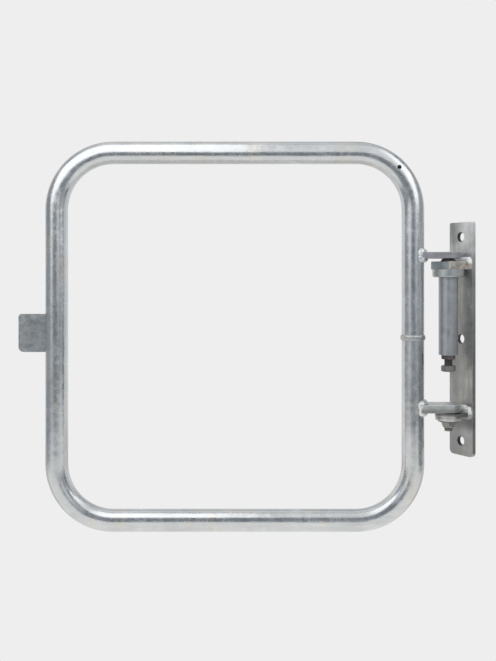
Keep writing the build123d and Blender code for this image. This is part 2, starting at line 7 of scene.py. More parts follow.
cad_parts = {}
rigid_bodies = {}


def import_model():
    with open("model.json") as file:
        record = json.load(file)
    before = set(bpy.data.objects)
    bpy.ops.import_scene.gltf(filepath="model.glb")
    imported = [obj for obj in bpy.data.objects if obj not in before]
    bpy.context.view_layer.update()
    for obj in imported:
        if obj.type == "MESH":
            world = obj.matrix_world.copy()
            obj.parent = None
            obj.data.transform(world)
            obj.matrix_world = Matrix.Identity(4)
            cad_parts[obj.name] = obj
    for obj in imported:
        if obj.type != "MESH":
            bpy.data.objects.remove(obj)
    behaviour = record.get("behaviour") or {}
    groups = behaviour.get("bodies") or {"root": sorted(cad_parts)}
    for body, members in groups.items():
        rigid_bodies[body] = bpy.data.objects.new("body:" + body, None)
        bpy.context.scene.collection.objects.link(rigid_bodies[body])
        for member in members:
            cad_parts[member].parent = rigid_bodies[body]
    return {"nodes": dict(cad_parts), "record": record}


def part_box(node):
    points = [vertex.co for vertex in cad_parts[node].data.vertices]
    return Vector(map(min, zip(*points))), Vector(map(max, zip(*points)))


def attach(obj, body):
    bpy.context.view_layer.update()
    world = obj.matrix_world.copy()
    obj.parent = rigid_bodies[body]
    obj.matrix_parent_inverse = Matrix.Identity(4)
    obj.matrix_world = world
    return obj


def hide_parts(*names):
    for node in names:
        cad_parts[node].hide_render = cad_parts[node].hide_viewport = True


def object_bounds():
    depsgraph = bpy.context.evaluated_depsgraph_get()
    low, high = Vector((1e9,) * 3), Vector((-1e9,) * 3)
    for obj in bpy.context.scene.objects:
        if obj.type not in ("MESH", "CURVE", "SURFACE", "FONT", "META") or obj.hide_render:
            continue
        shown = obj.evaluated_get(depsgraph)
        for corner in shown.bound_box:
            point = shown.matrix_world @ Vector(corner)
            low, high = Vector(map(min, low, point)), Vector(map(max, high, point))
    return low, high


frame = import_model()
CAD_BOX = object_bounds()
nodes = frame["nodes"]

# ------------------------------------------------------------ places, in metres
PHI = math.radians(58)
OUT = Vector((-math.cos(PHI), -math.sin(PHI), 0))  # along the gate, away from the hinge
BACK = Vector((-math.sin(PHI), math.cos(PHI), 0))  # behind the gate
FRONT = -BACK
UP = Vector((0, 0, 1))
PIN = Vector(frame["record"]["behaviour"]["joints"][0]["pos_m"])
PIN.z = 0.0
TUBE_R = 0.0212
LEG_X = 0.067
HOOP_W = 0.717
FREE_X = LEG_X + HOOP_W - 2 * TUBE_R


def box(node):
    low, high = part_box(node)
    return Vector(low), Vector(high)


def gate(x, front, z):
    """Along the gate from the hinge axis, in front of its middle plane, and in height."""
    return PIN + OUT * x + FRONT * front + UP * z


# ---------------------------------------------------------------------- meshes
def add_object(name, verts, faces, body, sharp=32, replaces=(), slot=None):
    me = bpy.data.meshes.new(name)
    me.from_pydata([tuple(v) for v in verts], [], faces)
    bm = bmesh.new()
    bm.from_mesh(me)
    bmesh.ops.recalc_face_normals(bm, faces=bm.faces)
    bm.to_mesh(me)
    bm.free()
    for p in me.polygons:
        p.use_smooth = True
    me.set_sharp_from_angle(angle=math.radians(sharp))
    ob = bpy.data.objects.new(name, me)
    bpy.context.scene.collection.objects.link(ob)
    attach(ob, body)
    if replaces:
        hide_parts(*replaces)
    return ob


def resample(points, step, closed):
    """Points of (position, outward) spaced evenly along the path."""
    if closed:
        points = points + [points[0]]
    out, need = [points[0]], step
    for (p, n), (q, m) in zip(points, points[1:]):
        run = (q - p).length
        at = need
        while at <= run:
            t = at / run
            out.append((p.lerp(q, t), n.lerp(m, t).normalized()))
            at += step
        need = at - run
    if closed and (out[-1][0] - points[0][0]).length < 0.6 * step:
        out.pop()
    return out


def bead(name, points, size, body, closed=False, step=0.0004, pitch=0.0021, ripple=0.10,
         lumps=0.10, seed=0.0, around=22, wide=1.0, blobs=(), crescent=0.55, flat=0.0, shape=None, replaces=(),
         slot="weld_metal"):
    """A run of weld: a round-backed bead along the path, with scalloped ripples. flat pulls
    its back in; shape(outward) gives factors by which the section is stretched in x, y, z."""
    pts = resample(points, step, closed)
    n = len(pts)
    verts, faces = [], []
    for i, (p, nrm) in enumerate(pts):
        if closed:
            t = pts[(i + 1) % n][0] - pts[i - 1][0]
        else:
            t = pts[min(i + 1, n - 1)][0] - pts[max(i - 1, 0)][0]
        t.normalize()
        nrm = (nrm - t * nrm.dot(t)).normalized()
        side = t.cross(nrm)
        s = i * step
        slow = noise.noise(Vector((s * 90 + seed, seed * 1.7, 0.3)))
        r = size * (1 + lumps * slow * 1.6)
        for at, amount, width in blobs:
            d = s - at
            r *= 1 + amount * math.exp(-(d / width) ** 2)
        if not closed:
            end = min(i, n - 1 - i) * step
            r *= math.sqrt(max(0.04, 1 - max(0.0, 1 - end / (size * 0.9)) ** 2))
        wander = noise.noise(Vector((s * 160, seed + 9.0, 0.0))) * size * 0.10
        sx, sy, sz = shape(nrm) if shape else (1.0, 1.0, 1.0)
        for j in range(around):
            a = 2 * math.pi * j / around
            c, d = math.cos(a), math.sin(a)
            ph = s / (pitch * (1 + 0.0 * slow)) + 0.25 * slow - crescent * (c if c > 0 else 0)
            ph -= math.floor(ph)
            h = math.sqrt(max(0.0, 1 - (2 * ph - 1) ** 2)) - 0.75
            grit = noise.noise(Vector((s * 900, math.cos(a) * 2.2, math.sin(a) * 2.2 + seed))) * 0.035
            k = (1 + ripple * h + grit) * (1 - flat * max(0.0, math.cos(2 * a)))
            off = nrm * (c * r * k + wander * 0.3) + side * (d * r * wide * k + wander)
            verts.append(p + Vector((off.x * sx, off.y * sy, off.z * sz)))
    for i in range(n if closed else n - 1):
        for j in range(around):
            a, b = i * around + j, i * around + (j + 1) % around
            c, d = ((i + 1) % n) * around + (j + 1) % around, ((i + 1) % n) * around + j
            faces.append((a, b, c, d))
    if not closed:
        faces.append(tuple(range(around)))
        faces.append(tuple((n - 1) * around + j for j in range(around)))
    return add_object(name, verts, faces, body, sharp=60, replaces=replaces, slot=slot)


def rounded_loop(half_u, half_v, r, place, open_bottom=False, arc=8):
    """Corner-rounded rectangle of (u, v, outward u, outward v), handed to place()."""
    uv = []
    for cu, cv, start in ((1, -1, -90), (1, 1, 0), (-1, 1, 90), (-1, -1, 180)):
        if open_bottom and cv < 0:
            uv.append((cu * half_u, -half_v, cu * 1.0, 0.0))
            continue
        for k in range(arc + 1):
            a = math.radians(start + 90 * k / arc)
            uv.append((cu * (half_u - r) + r * math.cos(a), cv * (half_v - r) + r * math.sin(a), math.cos(a), math.sin(a)))
    dense = []
    m = len(uv)
    for i in range(m - 1 if open_bottom else m):
        a, b = uv[i], uv[(i + 1) % m]
        parts = max(1, int(math.hypot(b[0] - a[0], b[1] - a[1]) / 0.0008))
        for k in range(parts):
            t = k / parts
            dense.append(tuple(a[q] + (b[q] - a[q]) * t for q in range(4)))
    if open_bottom:
        dense.append(uv[-1])
    return [place(*d) for d in dense]


# welds of the two arms: one run all round each bar where it meets the leg
leg = gate(LEG_X, 0, 0)
theta0 = math.acos(0.012 / TUBE_R)


def arm_weld(name, arm, cad, seed, blobs):
    low, high = box(arm)
    mid, half = (low.z + high.z) / 2, (high.z - low.z) / 2

    def place(u, v, wu, wv):
        th = u / TUBE_R
        d = -OUT * math.cos(th) + FRONT * math.sin(th)
        t = OUT * math.sin(th) + FRONT * math.cos(th)
        w = t * wu + UP * wv
        p = leg + d * (TUBE_R + 0.0006) + UP * (mid + v)
        return p, (d + w).normalized()

    loop = rounded_loop(TUBE_R * theta0 + 0.0006, half + 0.0012, 0.0036, place)
    return bead(name, loop, 0.0060, "gate", closed=True, seed=seed, lumps=0.20, ripple=0.12, pitch=0.0030,
                flat=0.08, blobs=blobs, replaces=(cad,))


arm_weld("upper_arm_weld_bead", "upper_arm", "upper_arm_weld", 3.1, ((0.003, 0.22, 0.0035), (0.0105, 0.10, 0.003)))
arm_weld("lower_arm_weld_bead", "lower_arm", "lower_arm_weld", 7.4, ((0.002, 0.20, 0.003), (0.014, 0.16, 0.003)))


# welds of the two lugs on the plate
def lug_weld(name, lug, cad, seed, open_bottom, above, below):
    low, high = box(lug)
    mid, half = (low.z + high.z) / 2, (high.z - low.z) / 2
    r = 0.0042

    def place(u, v, wu, wv):
        return Vector((u, -0.0082, mid + v)), (Vector((0, -1, 0)) + Vector((wu, 0, wv))).normalized()

    def shape(nrm):
        up = min(1.0, max(0.0, nrm.z * 1.4142))
        down = min(1.0, max(0.0, -nrm.z * 1.4142))
        return 1.0, 1.55, 1.0 + up * (above / r - 1.0) + down * (below / r - 1.0)

    loop = rounded_loop(0.025, half, 0.0028, place, open_bottom)
    return bead(name, loop, r, "mount", closed=not open_bottom, seed=seed, lumps=0.10, ripple=0.10,
                pitch=0.0026, flat=0.10, shape=shape, replaces=(cad,))


lug_weld("upper_lug_weld_bead", "upper_lug", "upper_lug_weld", 12.0, True, 0.0085, 0.0)
lug_weld("lower_lug_weld_bead", "lower_lug", "lower_lug_weld", 15.5, False, 0.0122, 0.0054)

# the ring where the tube's two ends are butt welded
low, high = box("hoop_joint_weld")
ring_z, ring = (low.z + high.z) / 2, []
for k in range(240):
    a = 2 * math.pi * k / 240
    d = -OUT * math.cos(a) + FRONT * math.sin(a)
    ring.append((leg + d * (TUBE_R - 0.0006) + UP * ring_z, d))
bead("hoop_joint_weld_bead", ring, 0.0029, "gate", closed=True, seed=21.0, lumps=0.08, ripple=0.06, pitch=0.0032,
     wide=1.85, crescent=0.7, replaces=("hoop_joint_weld",))

# the stop plate's weld, behind the free leg
low, high = box("stop_plate_weld")
wx = math.sqrt(TUBE_R ** 2 - 0.016 ** 2)
nrm = (OUT * 0.9 + BACK).normalized()
run = [(gate(FREE_X + wx + 0.0006, -0.0166, low.z + (high.z - low.z) * k / 60), nrm) for k in range(61)]
bead("stop_plate_weld_bead", run, 0.0042, "gate", seed=30.0, lumps=0.10, ripple=0.12, replaces=("stop_plate_weld",))

# plug welds that hold the shaft in the upper arm and the stud in the lower arm
for name, arm, r in (("upper_shaft_weld", "upper_arm", 0.0102), ("lower_stud_weld", "lower_arm", 0.0082)):
    top = box(arm)[1].z
    ring = []
    for k in range(200):
        a = 2 * math.pi * k / 200
        d = Vector((math.cos(a), math.sin(a), 0))
        ring.append((PIN + d * r + UP * (top - 0.0011), (UP + d * 0.2).normalized()))
    bead(name, ring, 0.0018, "gate", closed=True, seed=40.0 + r * 1000, lumps=0.10, ripple=0.14, pitch=0.0019, wide=1.5)


# ------------------------------------------------------------------- fasteners
def rings_object(name, profile, body, af=None, turn=0.0, around=120, closed=False, thread=None, sharp=30, **kw):
    """Rings of (radius limit, height) about the hinge axis. With af, each ring is also
    cut by a hexagon of that width; thread is not used."""
    verts, faces = [], []
    for lim, z in profile:
        for j in range(around):
            a = 2 * math.pi * j / around
            r = lim
            if af:
                b = (math.degrees(a) - turn) % 60 - 30
                rh = (af / 2) / math.cos(math.radians(b))
                rh = min(rh, (af / 2) / math.cos(math.radians(29.0)))
                r = min(r, rh)
            verts.append(PIN + Vector((r * math.cos(a), r * math.sin(a), z)))
    m = len(profile)
    for i in range(m if closed else m - 1):
        for j in range(around):
            k = (i + 1) % m
            faces.append((i * around + j, i * around + (j + 1) % around, k * around + (j + 1) % around, k * around + j))
    if not closed:
        faces.append(tuple(range(around)))
        faces.append(tuple((m - 1) * around + j for j in range(around)))
    return add_object(name, verts, faces, body, sharp=sharp, **kw)


def cone(r0, z0, z1, n=9):
    """30-degree chamfer rings from radius r0 at z0 towards z1."""
    out = []
    for k in range(n):
        t = k / (n - 1)
        z = z0 + (z1 - z0) * t
        out.append((r0 + abs(z - z0) * 1.732, z))
    return out


def rod(name, r, pitch, z0, z1, body, tip=0.0014, around=72, plain_top=None, **kw):
    """A threaded rod: one helical groove, with chamfered ends."""
    depth = 0.58 * pitch
    n = max(2, int((z1 - z0) / pitch * 14))
    verts, faces = [], []
    for i in range(n + 1):
        z = z0 + (z1 - z0) * i / n
        end = min(z - z0, z1 - z)
        lim = r - max(0.0, tip - end)
        for j in range(around):
            a = 2 * math.pi * j / around
            ph = z / pitch - j / around
            ph -= math.floor(ph)
            tri = min(1.0, max(0.0, (abs(2 * ph - 1) - 0.10) / 0.76))
            rr = r - depth * tri
            if plain_top is not None and z > plain_top:
                rr = r
            rr = min(rr, lim)
            verts.append(PIN + Vector((rr * math.cos(a), rr * math.sin(a), z)))
    for i in range(n):
        for j in range(around):
            faces.append((i * around + j, i * around + (j + 1) % around, (i + 1) * around + (j + 1) % around, (i + 1) * around + j))
    faces.append(tuple(range(around)))
    faces.append(tuple(n * around + j for j in range(around)))
    return add_object(name, verts, faces, body, sharp=50, **kw)


low, high = box("tension_bolt")
head_top = -0.049
rc = 0.0114
bolt_rod = rod("tension_bolt_thread", 0.0080, 0.0020, head_top - 0.001, high.z, "tension_adjuster",
               replaces=("tension_bolt",), slot="fastener_steel")
bolt_head = rings_object(
    "tension_bolt_head",
    [(0.0002, low.z), (rc - 0.0009, low.z), (rc - 0.0003, low.z + 0.00008)] + cone(rc, low.z + 0.0002, low.z + 0.0022)
    + [(0.02, low.z + 0.004), (0.02, head_top - 0.0008), (0.0134, head_top - 0.0005), (0.0114, head_top - 0.0004), (0.0112, head_top), (0.0002, head_top)],
    "tension_adjuster", af=0.024, turn=58, replaces=("tension_bolt",), slot="fastener_steel")

low, high = box("tension_lock_nut")
jam_nut = rings_object(
    "tension_lock_nut_hex",
    [(0.0089, low.z), (rc, low.z)] + cone(rc + 0.0001, low.z + 0.0001, low.z + 0.0018) + [(0.02, low.z + 0.003), (0.02, high.z - 0.003)]
    + cone(rc + 0.0001, high.z - 0.0001, high.z - 0.0018)[::-1] + [(rc, high.z), (0.0089, high.z), (0.0076, high.z - 0.0011), (0.0076, low.z + 0.0011)],
    "tension_adjuster", af=0.024, turn=66, closed=True, replaces=("tension_lock_nut",), slot="fastener_steel")

low, high = box("lower_lock_nut")
z0, z1, zh = low.z, high.z, low.z + 0.0035
lower_nut = rings_object(
    "lower_lock_nut_hex",
    [(0.0089, z0), (0.0094, z0), (0.0100, z0 + 0.0003), (0.0104, z0 + 0.0009), (0.0105, z0 + 0.0016), (0.0105, zh - 0.0004), (0.0108, zh)]
    + cone(rc + 0.0001, zh + 0.0001, zh + 0.0018) + [(0.02, zh + 0.003), (0.02, z1 - 0.0026)]
    + cone(rc + 0.0001, z1 - 0.0001, z1 - 0.0018)[::-1] + [(rc, z1), (0.0089, z1), (0.0077, z1 - 0.0011), (0.0077, z0 + 0.0034), (0.0094, z0 + 0.0034), (0.0094, z0 + 0.0008), (0.0089, z0 + 0.0005)],
    "gate", af=0.024, turn=20, closed=True, replaces=("lower_lock_nut",), slot="zinc_fastener")

low, high = box("lower_pivot_stud")
stud = rod("lower_pivot_stud_thread", 0.0080, 0.0020, low.z, high.z, "gate", tip=0.0016,
           plain_top=box("lower_washer")[0].z - 0.0005, replaces=("lower_pivot_stud",), slot="zinc_fastener")


# ------------------------------------------------------------------- materials
class Graph:
    """Short-hand for building a node tree."""

    def __init__(self, tree):
        self.t = tree

    def node(self, kind, **props):
        n = self.t.nodes.new(kind)
        for k, v in props.items():
            setattr(n, k, v)
        return n

    def put(self, socket, value):
        if isinstance(value, bpy.types.NodeSocket):
            self.t.links.new(value, socket)
        else:
            socket.default_value = value

    def math(self, op, a, b=None, clamp=False):
        n = self.node("ShaderNodeMath", operation=op, use_clamp=clamp)
        self.put(n.inputs[0], a)
        if b is not None:
            self.put(n.inputs[1], b)
        return n.outputs[0]

    def smooth(self, v, lo, hi, a=0.0, b=1.0):
        n = self.node("ShaderNodeMapRange", interpolation_type="SMOOTHSTEP")
        if lo > hi:
            lo, hi, a, b = hi, lo, b, a
        for i, x in enumerate((v, lo, hi, a, b)):
            self.put(n.inputs[i], x)
        return n.outputs[0]

    def bump_at(self, v, mid, half):
        return self.math("MULTIPLY", self.smooth(v, mid - half, mid), self.smooth(v, mid + half, mid))

    def dot(self, v, axis):
        n = self.node("ShaderNodeVectorMath", operation="DOT_PRODUCT")
        self.put(n.inputs[0], v)
        n.inputs[1].default_value = tuple(axis)
        return n.outputs["Value"]

    def scaled(self, v, s, shift=(0, 0, 0)):
        n = self.node("ShaderNodeMapping")
        self.put(n.inputs[0], v)
        n.inputs["Scale"].default_value = s
        n.inputs["Location"].default_value = shift
        return n.outputs[0]

    def noise(self, v, scale, detail=3.0, rough=0.55, distort=0.0):
        n = self.node("ShaderNodeTexNoise")
        self.put(n.inputs["Vector"], v)
        n.inputs["Scale"].default_value = scale
        n.inputs["Detail"].default_value = detail
        n.inputs["Roughness"].default_value = rough
        n.inputs["Distortion"].default_value = distort
        return n.outputs[0]

    def cells(self, v, scale, feature="F1"):
        n = self.node("ShaderNodeTexVoronoi", feature=feature)
        self.put(n.inputs["Vector"], v)
        n.inputs["Scale"].default_value = scale
        return n

    def mix(self, f, a, b, mode="MIX"):
        n = self.node("ShaderNodeMix", data_type="RGBA", blend_type=mode)
        self.put(n.inputs[0], f)
        self.put(n.inputs[6], a if isinstance(a, bpy.types.NodeSocket) else (*a, 1.0))
        self.put(n.inputs[7], b if isinstance(b, bpy.types.NodeSocket) else (*b, 1.0))
        return n.outputs[2]

    def grey(self, v):
        n = self.node("ShaderNodeCombineColor")
        for i in range(3):
            self.put(n.inputs[i], v)
        return n.outputs[0]


def zinc(name, tone, cool=(0.955, 1.0, 1.055), warm=(1.03, 1.0, 0.95), rough=0.30, metallic=1.0, seed=0.0,
         mottle=0.14, spangle=0.06, grain=0.35, wave=0.25, streak="none", extra=None, warmth=0.5, spots=0.5, salt=0.8,
         pimples=0.00022):
    """Hot-dip zinc: cool and warm clouds, faint crystal pattern, fine matt grain, pimples."""
    m = bpy.data.materials.new(name)
    m.use_nodes = True
    g = Graph(m.node_tree)
    bsdf = m.node_tree.nodes["Principled BSDF"]
    co = g.node("ShaderNodeTexCoord").outputs["Object"]
    at = g.scaled(co, (1, 1, 1), (seed, seed * 0.7, seed * 0.3))
    up = g.scaled(co, (1, 1, 0.10), (seed, 2.0, seed))
    # turned so that its second axis runs along the gate
    along = g.node("ShaderNodeCombineXYZ")
    g.put(along.inputs[0], g.dot(co, BACK))
    g.put(along.inputs[1], g.math("MULTIPLY", g.dot(co, OUT), 0.08))
    g.put(along.inputs[2], g.dot(co, UP))
    z = g.dot(co, UP)
    rail = g.smooth(g.math("ABSOLUTE", g.math("SUBTRACT", z, 0.0055)), 0.25, 0.34)
    cloud = g.noise(at, 22.0, 4.0, 0.6, 0.4)
    big = g.noise(at, 6.0, 2.0)
    fine = g.noise(at, 170.0, 3.0, 0.7)
    if streak == "hoop":
        s_leg = g.noise(up, 130.0, 3.0, 0.6)
        s_rail = g.noise(along.outputs[0], 130.0, 3.0, 0.6)
        mixer = g.node("ShaderNodeMix", data_type="FLOAT")
        g.put(mixer.inputs[0], rail)
        g.put(mixer.inputs[2], s_leg)
        g.put(mixer.inputs[3], s_rail)
        lines = mixer.outputs[0]
    elif streak == "up":
        lines = g.noise(up, 150.0, 3.0, 0.6)
    else:
        lines = g.noise(at, 60.0, 3.0, 0.6)
    cell = g.cells(at, 120.0)
    pick = g.node("ShaderNodeSeparateColor")
    g.put(pick.inputs[0], cell.outputs["Color"])
    crystal = pick.outputs[0]
    # value
    v = g.math("MULTIPLY", g.math("SUBTRACT", cloud, 0.5), mottle * 2.4)
    v = g.math("ADD", v, g.math("MULTIPLY", g.math("SUBTRACT", big, 0.5), mottle * 1.6))
    v = g.math("ADD", v, g.math("MULTIPLY", g.math("SUBTRACT", lines, 0.5), mottle * 2.2))
    v = g.math("ADD", v, g.math("MULTIPLY", g.math("SUBTRACT", crystal, 0.5), spangle))
    v = g.math("ADD", v, g.math("MULTIPLY", g.math("SUBTRACT", fine, 0.5), mottle * salt))
    v = g.math("ADD", v, 1.0)
    hue = g.smooth(g.math("ADD", g.noise(g.scaled(at, (1, 1, 0.35), (5, 1, 3)), 30.0, 3.0), g.math("MULTIPLY", g.math("SUBTRACT", lines, 0.5), 0.5)),
                   0.66 - warmth * 0.3, 0.86 - warmth * 0.3)
    col = g.mix(hue, [tone * c for c in cool], [tone * c for c in warm])
    col = g.mix(1.0, col, g.grey(v), "MULTIPLY")
    # pale oxide bloom and a few dark specks
    bloom = g.smooth(g.noise(g.scaled(at, (1, 1, 1), (9, 4, 2)), 48.0, 4.0, 0.7), 0.60, 0.74)
    col = g.mix(g.math("MULTIPLY", bloom, 0.30 * spots), col, (min(1, tone * 1.25), min(1, tone * 1.25), min(1, tone * 1.22)))
    speck = g.smooth(g.noise(g.scaled(at, (1, 1, 1), (1, 7, 5)), 420.0, 2.0, 0.6), 0.70, 0.78)
    col = g.mix(g.math("MULTIPLY", speck, 0.35 * spots), col, (tone * 0.55, tone * 0.54, tone * 0.52))
    if extra:
        col = extra(g, co, col)
    g.put(bsdf.inputs["Base Color"], col)
    bsdf.inputs["Metallic"].default_value = metallic
    ro = g.math("ADD", rough, g.math("MULTIPLY", g.math("SUBTRACT", crystal, 0.5), 0.10))
    ro = g.math("ADD", ro, g.math("MULTIPLY", g.math("SUBTRACT", cloud, 0.5), 0.22))
    ro = g.math("ADD", ro, g.math("MULTIPLY", bloom, 0.14 * spots))
    g.put(bsdf.inputs["Roughness"], g.math("MAXIMUM", ro, 0.12))
    # bump: slow waves of the dip, fine grain, small pimples
    slow = g.noise(at, 28.0, 2.0, 0.5)
    grains = g.noise(at, 900.0, 3.0, 0.7)
    pim = g.cells(at, 140.0)
    dots = g.smooth(pim.outputs["Distance"], 0.16, 0.02)
    few = g.smooth(g.noise(g.scaled(at, (1, 1, 1), (3, 3, 8)), 30.0, 1.0), 0.60, 0.70)
    h = g.math("MULTIPLY", slow, wave * 0.004)
    h = g.math("ADD", h, g.math("MULTIPLY", lines, wave * 0.0006))
    h = g.math("ADD", h, g.math("MULTIPLY", grains, grain * 0.00010))
    h = g.math("ADD", h, g.math("MULTIPLY", g.math("MULTIPLY", dots, few), pimples))
    b = g.node("ShaderNodeBump")
    b.inputs["Strength"].default_value = 1.0
    b.inputs["Distance"].default_value = 1.0
    g.put(b.inputs["Height"], h)
    g.put(bsdf.inputs["Normal"], b.outputs[0])
    return m


def steel(name, color, rough=0.45, metallic=0.9, stain=(0.20, 0.13, 0.09), stained=0.4, seed=0.0, grain=0.4, lines=0.0):
    """Bare or dull-plated steel with stains, fine scratches and handling marks."""
    m = bpy.data.materials.new(name)
    m.use_nodes = True
    g = Graph(m.node_tree)
    bsdf = m.node_tree.nodes["Principled BSDF"]
    co = g.node("ShaderNodeTexCoord").outputs["Object"]
    at = g.scaled(co, (1, 1, 1), (seed, seed, 0))
    cloud = g.noise(at, 90.0, 4.0, 0.65)
    fine = g.noise(at, 500.0, 3.0, 0.7)
    turn = g.noise(g.scaled(co, (1, 1, 14), (seed, 0, 0)), 60.0, 2.0)
    v = g.math("ADD", 1.0, g.math("MULTIPLY", g.math("SUBTRACT", cloud, 0.5), 0.5))
    v = g.math("ADD", v, g.math("MULTIPLY", g.math("SUBTRACT", fine, 0.5), 0.3))
    col = g.mix(1.0, color, g.grey(v), "MULTIPLY")
    mask = g.smooth(g.noise(g.scaled(at, (1, 1, 1), (4, 2, 1)), 130.0, 4.0, 0.7), 0.50, 0.66)
    col = g.mix(g.math("MULTIPLY", mask, stained), col, stain)
    g.put(bsdf.inputs["Base Color"], col)
    bsdf.inputs["Metallic"].default_value = metallic
    ro = g.math("ADD", rough, g.math("MULTIPLY", g.math("SUBTRACT", cloud, 0.5), 0.3))
    ro = g.math("ADD", ro, g.math("MULTIPLY", mask, 0.2 * stained))
    g.put(bsdf.inputs["Roughness"], ro)
    h = g.math("MULTIPLY", fine, grain * 0.00012)
    h = g.math("ADD", h, g.math("MULTIPLY", turn, lines * 0.0001))
    b = g.node("ShaderNodeBump")
    b.inputs["Distance"].default_value = 1.0
    g.put(b.inputs["Height"], h)
    g.put(bsdf.inputs["Normal"], b.outputs[0])
    return m


def plate_extra(g, co, col):
    """The plate is paler towards its top (painted light), has faint runs, blotches and patches, a band of painted
    shadow below the lower lug that is partly heat tint, is darker towards its bottom, has painted shade along its
    right-hand edge below the top and over its left part, strongest near the top, and painted shade on its hole walls.
    """
    z = g.dot(co, UP)
    # painted light: the plate's upper part is mixed towards pale grey, standing in for the light falling on it
    top = g.smooth(g.math("ADD", z, g.math("MULTIPLY", g.math("SUBTRACT", g.noise(co, 30.0, 3.0), 0.5), 0.05)), 0.10, 0.20)
    col = g.mix(g.math("MULTIPLY", top, 0.9), col, (0.86, 0.88, 0.87))
    run = g.smooth(g.noise(g.scaled(co, (1, 1, 0.12), (3, 3, 3)), 90.0, 3.0), 0.50, 0.66)
    col = g.mix(g.math("MULTIPLY", run, 0.25), col, (0.30, 0.29, 0.25))
    blot = g.smooth(g.noise(g.scaled(co, (1, 1, 0.6), (7, 3, 1)), 55.0, 4.0, 0.65), 0.46, 0.62)
    col = g.mix(g.math("MULTIPLY", blot, 0.22), col, (0.34, 0.33, 0.30))
    # painted shadow below the lower lug, partly heat tint: a dark band on the plate
    shadow_and_tint_below_lug = g.math("MULTIPLY", g.bump_at(z, -0.159, 0.026), 0.85)
    col = g.mix(shadow_and_tint_below_lug, col, (0.26, 0.27, 0.27))
    low = g.smooth(z, -0.170, -0.190)
    col = g.mix(g.math("MULTIPLY", low, 0.34), col, (0.36, 0.355, 0.365))
    x2 = g.math("POWER", g.dot(co, (1, 0, 0)), 2.0)
    patch = g.smooth(g.noise(g.scaled(co, (1, 1, 0.8), (2, 6, 4)), 38.0, 3.0, 0.6), 0.48, 0.64)
    col = g.mix(g.math("MULTIPLY", patch, 0.24), col, (0.30, 0.28, 0.285))
    # painted shade on the plate's right-hand edge and side face, below the top
    painted_shade_edge = g.math("MULTIPLY", g.smooth(g.dot(co, (1, 0, 0)), 0.0288, 0.0296), g.smooth(z, 0.172, 0.150))
    col = g.mix(g.math("MULTIPLY", painted_shade_edge, 0.48), col, (0.20, 0.20, 0.195))
    # painted shade over the plate's left part, stronger near the top
    left = g.smooth(g.dot(co, (1, 0, 0)), 0.016, -0.014)
    painted_shade_strength = g.math("ADD", 0.25, g.math("MULTIPLY", g.smooth(z, 0.172, 0.190), 0.22))
    col = g.mix(g.math("MULTIPLY", left, painted_shade_strength), col, (0.03, 0.03, 0.032))
    # painted shade on the walls of the three holes
    near = 0.0
    for hole in (-0.195, 0.0, 0.195):
        d = g.math("SQRT", g.math("ADD", x2, g.math("POWER", g.math("SUBTRACT", z, hole), 2.0)))
        near = g.math("ADD", near, g.smooth(d, 0.0096, 0.0091))
    return g.mix(g.math("MULTIPLY", near, 0.88), col, (0.05, 0.055, 0.055))


def lug_weld_extra(g, co, col):
    """Zinc paint on top of the two lugs' welds; the upper weld is darker and brownish below the lug's top, and the
    lower weld has painted shade along the lug's underside.
    """
    z = g.dot(co, UP)
    ragged = g.math("ADD", z, g.math("MULTIPLY", g.math("SUBTRACT", g.noise(co, 160.0, 3.0), 0.5), 0.006))
    # the upper weld is made darker and brownish below the lug's top
    low = g.math("MULTIPLY", g.smooth(ragged, 0.1465, 0.1425), g.smooth(z, 0.05, 0.10))
    col = g.mix(g.math("MULTIPLY", low, 0.8), col, (0.38, 0.31, 0.26))
    # painted shade on the lower weld along the lug's underside
    low = g.smooth(ragged, -0.1390, -0.1430)
    return g.mix(g.math("MULTIPLY", low, 0.8), col, (0.24, 0.24, 0.23))


def low_lug_extra(g, co, col):
    """Painted light: the lower half of the nose is made pale, as if lit below the shade of the arm."""
    z = g.dot(co, UP)
    right = g.math("SUBTRACT", g.dot(co, -OUT), PIN.dot(-OUT))
    painted_light_nose = g.math("MULTIPLY", g.smooth(z, -0.1405, -0.1435), g.smooth(right, 0.013, 0.004))
    return g.mix(g.math("MULTIPLY", painted_light_nose, 0.9), col, (0.62, 0.62, 0.60))


def low_arm_extra(g, co, col):
    """Painted shade: darker below its top few millimetres, towards its lower edge."""
    z = g.dot(co, UP)
    return g.mix(g.math("MULTIPLY", g.smooth(z, -0.1245, -0.1330), 0.44), col, (0.09, 0.085, 0.08))


def lug_extra(g, co, col):
    """Heat and rust tint on the lug's right-hand side and near its weld."""
    x = g.dot(co, (1, 0, 0))
    y = g.dot(co, (0, 1, 0))
    side = g.smooth(x, 0.0235, 0.0248)
    cloud = g.noise(co, 110.0, 4.0, 0.6)
    tint = g.mix(g.smooth(cloud, 0.38, 0.62), (0.44, 0.365, 0.295), (0.69, 0.635, 0.565))
    col = g.mix(g.math("MULTIPLY", side, 0.9), col, tint)
    near = g.math("MULTIPLY", g.smooth(y, -0.022, -0.009), g.smooth(cloud, 0.35, 0.6))
    return g.mix(g.math("MULTIPLY", near, 0.35), col, (0.46, 0.37, 0.29))


